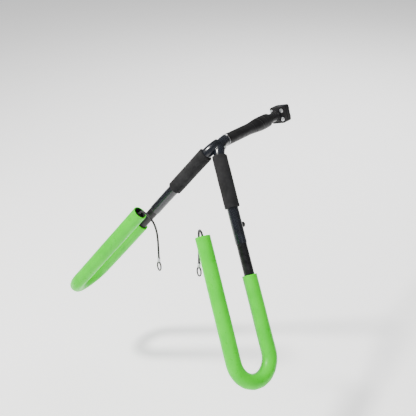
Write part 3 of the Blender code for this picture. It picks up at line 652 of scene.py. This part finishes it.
class Leg:
    """One side's directions and the places along its tube, worked out from its joints."""

    def __init__(self, side):
        self.side = side
        knob = joints[side + "_knob_turn"]
        self.down = Vector(joints[side + "_hook_slide"]["axis"]).normalized()
        self.across = -Vector(knob["axis"]).normalized()
        self.top = Vector(knob["pos_m"]) - self.down * KNOB_PLACE
        self.knob_centre = self.top + self.down * KNOB_PLACE
        self.normal = self.down.cross(self.across)
        self.bend = math.acos(self.down.dot(OUTBOARD))
        self.bend_way = (self.down - math.cos(self.bend) * OUTBOARD) / math.sin(self.bend)
        self.flat = OUTBOARD.cross(self.bend_way)
        self.elbow_start = self.top - ELBOW_RADIUS * (
            math.sin(self.bend) * OUTBOARD + (1 - math.cos(self.bend)) * self.bend_way)

    def elbow(self, start, end, steps):
        """Stations round the bend, from one angle to another."""
        stations = []
        for step in range(steps + 1):
            turn = start + (end - start) * step / steps
            centre = self.elbow_start + ELBOW_RADIUS * (
                math.sin(turn) * OUTBOARD + (1 - math.cos(turn)) * self.bend_way)
            stations.append((centre, math.cos(turn) * OUTBOARD + math.sin(turn) * self.bend_way))
        return stations

    def inner(self, start, end, steps):
        """Stations on the straight side that slides in the leg, measured down from the bend."""
        return [(self.top + self.down * (start + (end - start) * step / steps), self.down)
                for step in range(steps + 1)]

    def u_bend(self, place, spacing, steps):
        """Stations inside the hook's bend, without its two ends."""
        middle = self.top + self.down * place + self.across * spacing / 2
        stations = []
        for step in range(1, steps):
            turn = math.pi * step / steps
            centre = middle + spacing / 2 * (math.sin(turn) * self.down - math.cos(turn) * self.across)
            stations.append((centre, math.cos(turn) * self.down + math.sin(turn) * self.across))
        return stations

    def outer(self, spacing, start, end, steps):
        """Stations on the side with the open end, measured down from the bend."""
        foot = self.top + self.across * spacing
        return [(foot + self.down * (start + (end - start) * step / steps), -self.down)
                for step in range(steps + 1)]


def lacquer():
    """Gloss black with a blue cast under a clear coat, and faint ripple."""
    made, tree, shader = finish("gloss_lacquer", (0.005, 0.006, 0.010), 0.2)
    tree.links.new(ramp(tree, noise(tree, 35.0, 5.0), (0.002, 0.003, 0.005), (0.005, 0.0065, 0.011)),
                   shader.inputs["Base Color"])
    tree.links.new(ramp(tree, noise(tree, 260.0, 5.0), grey(0.16), grey(0.34)), shader.inputs["Roughness"])
    bump(tree, shader, noise(tree, 60.0, 2.0), 0.0004, 0.15)
    shader.inputs["Coat Weight"].default_value = 0.3
    shader.inputs["Coat Roughness"].default_value = 0.08
    return made


def carve(piece, tools):
    """Cut closed tools out of a piece, and keep the result as its mesh."""
    for tool in tools:
        cut = piece.modifiers.new(tool.name, "BOOLEAN")
        cut.operation = "DIFFERENCE"
        cut.solver = "EXACT"
        cut.object = tool
    evaluated = piece.evaluated_get(bpy.context.evaluated_depsgraph_get())
    carved = bpy.data.meshes.new_from_object(evaluated)
    piece.modifiers.clear()
    piece.data = carved
    carved.shade_smooth()
    carved.set_sharp_from_angle(angle=math.radians(40))
    for tool in tools:
        bpy.data.objects.remove(tool)


def slot_tool(leg):
    """A long round-ended prism through the leg's hidden wall."""
    bm = bmesh.new()
    radius = KNOB_SCREW_RADIUS + GAP + SLOT_PLAY
    outline = []
    for end, start_turn in ((SLIDE_OUT, -math.pi / 2), (-SLIDE_IN, math.pi / 2)):
        for step in range(17):
            turn = start_turn + math.pi * step / 16
            outline.append((end + radius * math.cos(turn), radius * math.sin(turn)))
    loops = []
    for depth in (TUBE_BORE - SLOT_MARGIN, TUBE_RADIUS + SLOT_MARGIN):
        centre = leg.knob_centre - leg.across * depth
        loops.append([bm.verts.new(centre + leg.down * reach + leg.normal * aside)
                      for reach, aside in outline])
    for step in range(len(outline)):
        after = (step + 1) % len(outline)
        bm.faces.new((loops[0][step], loops[0][after], loops[1][after], loops[1][step]))
    bm.faces.new(loops[0])
    bm.faces.new(loops[1])
    bmesh.ops.recalc_face_normals(bm, faces=bm.faces)
    return add_piece(leg.side + "_slot_tool", bm, LACQUER)


LACQUER = lacquer()
legs = {side: Leg(side) for side in ("front", "rear")}
front, rear = legs["front"], legs["rear"]

bolt_centre, bolt_way = front.elbow(HUB_BOLT_TURN, HUB_BOLT_TURN, 1)[0]
bolt_facing = (FORWARD - bolt_way * FORWARD.dot(bolt_way)).normalized()


def hub_drill():
    """The hub bolt's hole, right through the front elbow and on into the rear one."""
    profile = [(-HUB_BOLT_REACH - GAP, HUB_BOLT_RADIUS + GAP), (DRILL_REACH, HUB_BOLT_RADIUS + GAP)]
    return skin("hub_drill", along(bolt_centre, bolt_facing, profile), LACQUER, bolt_way, sides=24)


path = front.elbow(0, front.bend, 48)[:-1] + front.inner(0, LEG_LENGTH, 60)
front_bent = pipe("front_bent_tube", path, TUBE_RADIUS, TUBE_BORE, TUBE_EDGE, LACQUER, front.flat, sides=72)
carve(front_bent, [slot_tool(front), hub_drill()])
place_piece(front_bent, "arm", "gloss_elbow", "front_elbow")

bore_start = rear.bend * SOLID_SHARE
outside = rear.elbow(REAR_CUT, rear.bend, 40)[:-1] + rear.inner(0, LEG_LENGTH, 60)
bore = rear.elbow(bore_start, rear.bend, 16)[:-1] + rear.inner(0, LEG_LENGTH, 60)
rings = [(outside[0][0], outside[0][1], TUBE_RADIUS)] + sized(outside[1:-1], TUBE_RADIUS)
rings += lip(outside[-1], TUBE_RADIUS, TUBE_BORE, TUBE_EDGE) + sized(list(reversed(bore[:-2])), TUBE_BORE)
rear_bent = skin("rear_bent_tube", rings, LACQUER, rear.flat, sides=72)
cope_path = [(front.elbow_start - OUTBOARD * COPE_LEAD, OUTBOARD)] + front.elbow(0, front.bend, 30)[:-1]
cope_path += front.inner(0, COPE_REACH, 4)
cope = skin("cope", sized(cope_path, TUBE_RADIUS + GAP), LACQUER, front.flat, sides=72)
carve(rear_bent, [cope, slot_tool(rear), hub_drill()])
place_piece(rear_bent, "arm", "gloss_elbow", "rear_elbow")

# ---------------------------------------------------------------- hub bolt
# One bright socket bolt goes through the front elbow into the rear elbow's solid end and holds the
# two legs together.
HUB_HEAD_RADIUS = 0.0045
HUB_HEAD_HEIGHT = 0.003
HUB_SOCKET_ACROSS = 0.003

bolt_seat = bolt_centre + bolt_facing * (TUBE_RADIUS + GAP)
hub_bolt = socket_bolt("hub_socket_bolt", bolt_seat, bolt_facing, bolt_way,
                       HUB_BOLT_REACH + TUBE_RADIUS + GAP, HUB_BOLT_RADIUS, HUB_HEAD_RADIUS,
                       HUB_HEAD_HEIGHT, HUB_SOCKET_ACROSS)
place_piece(hub_bolt, "arm", "bright_steel", "hub_bolt")

# ---------------------------------------------------------------- leg foam
# Charcoal closed-cell foam tubes pushed over the top of each leg, where a board's rail may knock.
# They are cut off square, faintly mottled, and uneven in soft dents.
LEG_FOAM_RADIUS = 0.02325
LEG_FOAM_START_SHARE = 0.9
LEG_FOAM_END = 0.155
LEG_FOAM_SHIFT = {"front": 0.0, "rear": 2.0}
FOAM_EDGE = 0.0016


def foam(name, low, high, roughness, pore, sheen):
    """Closed-cell foam: faint mottling, fine pores and soft dents."""
    made, tree, shader = finish(name, high, roughness)
    tree.links.new(ramp(tree, noise(tree, 22.0, 6.0), low, high, 0.30, 0.62), shader.inputs["Base Color"])
    tree.links.new(ramp(tree, noise(tree, 60.0), grey(roughness - 0.12), grey(roughness + 0.10)),
                   shader.inputs["Roughness"])
    bump(tree, shader, noise(tree, pore, 3.0), 0.00025, 0.35)
    bump(tree, shader, noise(tree, 45.0, 2.0), 0.0012, 0.25)
    shader.inputs["Sheen Weight"].default_value = sheen
    shader.inputs["Specular IOR Level"].default_value = 0.22
    return made


def soft_dents(number, turn, pitch, cross_pitch, shift):
    """Slow unevenness of a foam's skin, in two waves that cross."""
    return (0.00016 * math.sin(number * pitch + 2 * turn + shift)
            + 0.00010 * math.sin(number * cross_pitch - 3 * turn))


CHARCOAL = foam("charcoal_foam", (0.006, 0.006, 0.0065), (0.014, 0.014, 0.015), 0.85, 1500.0, 0.02)
for side, leg in legs.items():
    path = leg.elbow(LEG_FOAM_START_SHARE * leg.bend, leg.bend, 3)[:-1] + leg.inner(0, LEG_FOAM_END, 60)

    def leg_dents(number, turn, shift=LEG_FOAM_SHIFT[side]):
        return soft_dents(number, turn, 0.13, 0.29, shift)

    pad = pipe(side + "_leg_padding", path, LEG_FOAM_RADIUS, SLEEVE_BORE, FOAM_EDGE, CHARCOAL, leg.flat,
               sides=64, swell=leg_dents)
    place_piece(pad, "arm", "charcoal_foam", side + "_leg_foam")

# ---------------------------------------------------------------- hook tubes
# J-shaped steel tubes in powder coat that slide inside the legs, drilled for the lock knob's screw.
# Only the short straight stretch between the leg and the green foam shows.
HOOK_BORE = 0.0144
HOOK_TUBE_TOP = 0.100
BEND_PLACE = 0.586
SPACING = 0.135
OPEN_END = 0.224
MOUTH_DEPTH = 0.012
TUBE_END = OPEN_END + MOUTH_DEPTH
HOLE_START = 0.002
HOLE_MARGIN = 0.004

for side, leg in legs.items():
    path = leg.inner(HOOK_TUBE_TOP, BEND_PLACE, 60) + leg.u_bend(BEND_PLACE, SPACING, 60)
    path += leg.outer(SPACING, BEND_PLACE, TUBE_END, 40)
    tube = pipe(side + "_sliding_tube", path, SLIDING_RADIUS, HOOK_BORE, TUBE_EDGE, COATED, leg.normal)
    hole = [(HOLE_START, KNOB_SCREW_RADIUS + GAP), (TUBE_RADIUS + HOLE_MARGIN, KNOB_SCREW_RADIUS + GAP)]
    drill = skin(side + "_knob_drill", along(leg.knob_centre, -leg.across, hole), COATED, leg.down, sides=24)
    carve(tube, [drill])
    place_piece(tube, side + "_hook", "coated_tube", side + "_hook_tube")

# ---------------------------------------------------------------- end plugs
# A plug moulded in black plastic is pushed into each hook tube's open end. The bungee cord comes
# out through the hole in its middle.
PLUG_LENGTH = 0.012
PLUG_EDGE = 0.0008

for side, leg in legs.items():
    path = leg.outer(SPACING, TUBE_END + PLUG_LENGTH, TUBE_END + GAP, 8)
    plug = pipe(side + "_tube_plug", path, HOOK_BORE - GAP, CORD_DIAMETER / 2 + GAP, PLUG_EDGE, PLASTIC,
                leg.normal, sides=48)
    place_piece(plug, side + "_hook", "black_plastic", side + "_end_plug")

# ---------------------------------------------------------------- hook foam
# Bright green closed-cell foam tubing pushed over the whole hook. It creases a little inside the
# bend, and stands open past the tube's end, where the cord comes out.
FOAM_RADIUS = 0.0225
PADDED_BORE = 0.0162
MOUTH_RADIUS = 0.0185
FOAM_TOP = {"front": 0.361, "rear": 0.343}
FOAM_SHIFT = {"front": 0.0, "rear": 1.3}
BEND_CREASE_DEPTH = 0.0007
STRAIGHT_STEPS = 36
BEND_STEPS = 72

# Near-black material for the inside of each green foam's open mouth and its bore: painted shade, not the
# foam's own colour.
MOUTH_PAINTED_SHADE = foam("painted_shade_in_mouth", (0.006, 0.007, 0.006), (0.014, 0.016, 0.014), 0.8, 1800.0, 0.0)
GREEN = foam("green_foam", (0.016, 0.43, 0.0), (0.026, 0.50, 0.0), 0.38, 1800.0, 0.0)
for side, leg in legs.items():
    path = leg.inner(FOAM_TOP[side], BEND_PLACE, STRAIGHT_STEPS)
    path += leg.u_bend(BEND_PLACE, SPACING, BEND_STEPS) + leg.outer(SPACING, BEND_PLACE, OPEN_END, 60)

    def bend_creases(number, turn, shift=FOAM_SHIFT[side]):
        """Slow unevenness all along, and shallow creases on the inside of the bend."""
        slow = soft_dents(number, turn, 0.09, 0.21, shift)
        along_bend = (number + 1 - STRAIGHT_STEPS) / BEND_STEPS
        if not 0 < along_bend < 1:
            return slow
        inside = max(0.0, math.sin(turn)) ** 2
        crease = math.sin(math.pi * along_bend) * inside * (0.5 + 0.5 * math.cos(number * math.pi / 4))
        return slow - BEND_CREASE_DEPTH * crease

    pad = pipe(side + "_green_padding", path, FOAM_RADIUS, PADDED_BORE, FOAM_EDGE, GREEN, leg.normal,
               sides=64, swell=bend_creases, mouth=(MOUTH_RADIUS, MOUTH_DEPTH), painted_shade_inside=MOUTH_PAINTED_SHADE)
    place_piece(pad, side + "_hook", "green_foam", side + "_hook_foam")

# ---------------------------------------------------------------- lock knobs and nuts
# Round moulded knobs with a knurled rim. Each one's steel screw goes through the leg's slot into a
# nut held inside the hook tube, and pinches the two tubes together.
KNOB_RADIUS = 0.009
KNOB_HEIGHT = 0.010
KNOB_GRIP = KNOB_RADIUS - 0.0004
KNURLS = 20
KNURL_DEPTH = 0.0004
nut_top = math.sqrt(HOOK_BORE ** 2 - NUT_ACROSS ** 2 / 3) - GAP
nut_bottom = nut_top - NUT_HEIGHT
seat = TUBE_RADIUS + GAP

for side, leg in legs.items():
    facing = -leg.across
    profile = [(nut_bottom - 0.001, KNOB_SCREW_RADIUS * 0.8), (nut_bottom - 0.0004, KNOB_SCREW_RADIUS),
               (seat, KNOB_SCREW_RADIUS), (seat, KNOB_RADIUS - 0.0015), (seat + 0.0008, KNOB_GRIP),
               (seat + 0.0014, KNOB_GRIP), (seat + KNOB_HEIGHT - 0.0028, KNOB_GRIP),
               (seat + KNOB_HEIGHT - 0.0014, KNOB_RADIUS - 0.0008),
               (seat + KNOB_HEIGHT - 0.0004, KNOB_RADIUS - 0.002),
               (seat + KNOB_HEIGHT, KNOB_RADIUS - 0.0035),
               (seat + KNOB_HEIGHT - 0.0006, KNOB_RADIUS - 0.005),
               (seat + KNOB_HEIGHT - 0.0006, 0.0008)]
    knob = skin(side + "_knurled_knob", along(leg.knob_centre, facing, profile), PLASTIC, leg.down,
                sides=120, sharp=55,
                swell=lambda number, turn: KNURL_DEPTH * math.cos(KNURLS * turn) if number in (5, 6) else 0.0)
    place_piece(knob, side + "_knob", "black_plastic", side + "_lock_knob")
    nut = chamfered_nut(side + "_inner_nut", leg.knob_centre + facing * nut_bottom, facing, leg.down,
                        NUT_ACROSS, NUT_HEIGHT, KNOB_SCREW_RADIUS + GAP)
    place_piece(nut, side + "_hook", "bright_steel", side + "_lock_nut")

# ---------------------------------------------------------------- floor and light
# Pale ground at bicycle height below the clamp. One small strong light stands high on the left
# and a weak one opposite, and two more, kept out of gloss, brighten the ground.
GROUND = -0.86
GROUND_REACH = 14.0

floor_mesh = bpy.data.meshes.new("floor")
corners = [(-GROUND_REACH, -GROUND_REACH, GROUND), (GROUND_REACH, -GROUND_REACH, GROUND),
           (GROUND_REACH, GROUND_REACH, GROUND), (-GROUND_REACH, GROUND_REACH, GROUND)]
floor_mesh.from_pydata(corners, [], [(0, 1, 2, 3)])
ground, _, ground_shader = finish("pale_floor", (0.86, 0.86, 0.86), 0.9)
ground_shader.inputs["Emission Color"].default_value = (1.0, 1.0, 1.0, 1.0)
ground_shader.inputs["Emission Strength"].default_value = 0.48
floor_mesh.materials.append(ground)
floor = bpy.data.objects.new("floor", floor_mesh)
bpy.context.scene.collection.objects.link(floor)


def area_light(name, place, aim, size, power, colour=(1, 1, 1)):
    lamp = bpy.data.lights.new(name, "AREA")
    lamp.shape = "DISK"
    lamp.size = size
    lamp.energy = power
    lamp.color = colour
    light = bpy.data.objects.new(name, lamp)
    light.location = place
    light.rotation_euler = (Vector(aim) - Vector(place)).to_track_quat("-Z", "Y").to_euler()
    bpy.context.scene.collection.objects.link(light)
    return light


area_light("key", (-1.3, -2.1, 2.4), (0, -0.45, -0.25), 0.4, 225.0, (1.0, 0.98, 0.95))
area_light("fill", (2.4, -1.2, 0.9), (0, -0.45, -0.2), 1.8, 5.0, (0.95, 0.97, 1.0))
area_light("floor_wash", (-0.6, 2.2, 2.4), (-1.4, 2.2, GROUND), 4.0, 260.0).visible_glossy = False
area_light("floor_near", (0.9, -1.9, 0.2), (-0.1, -0.2, GROUND), 1.6, 30.0).visible_glossy = False
world = bpy.data.worlds.new("studio")
world.use_nodes = True
world.node_tree.nodes["Background"].inputs["Color"].default_value = (1.0, 1.0, 1.0, 1.0)
world.node_tree.nodes["Background"].inputs["Strength"].default_value = 0.30
bpy.context.scene.world = world
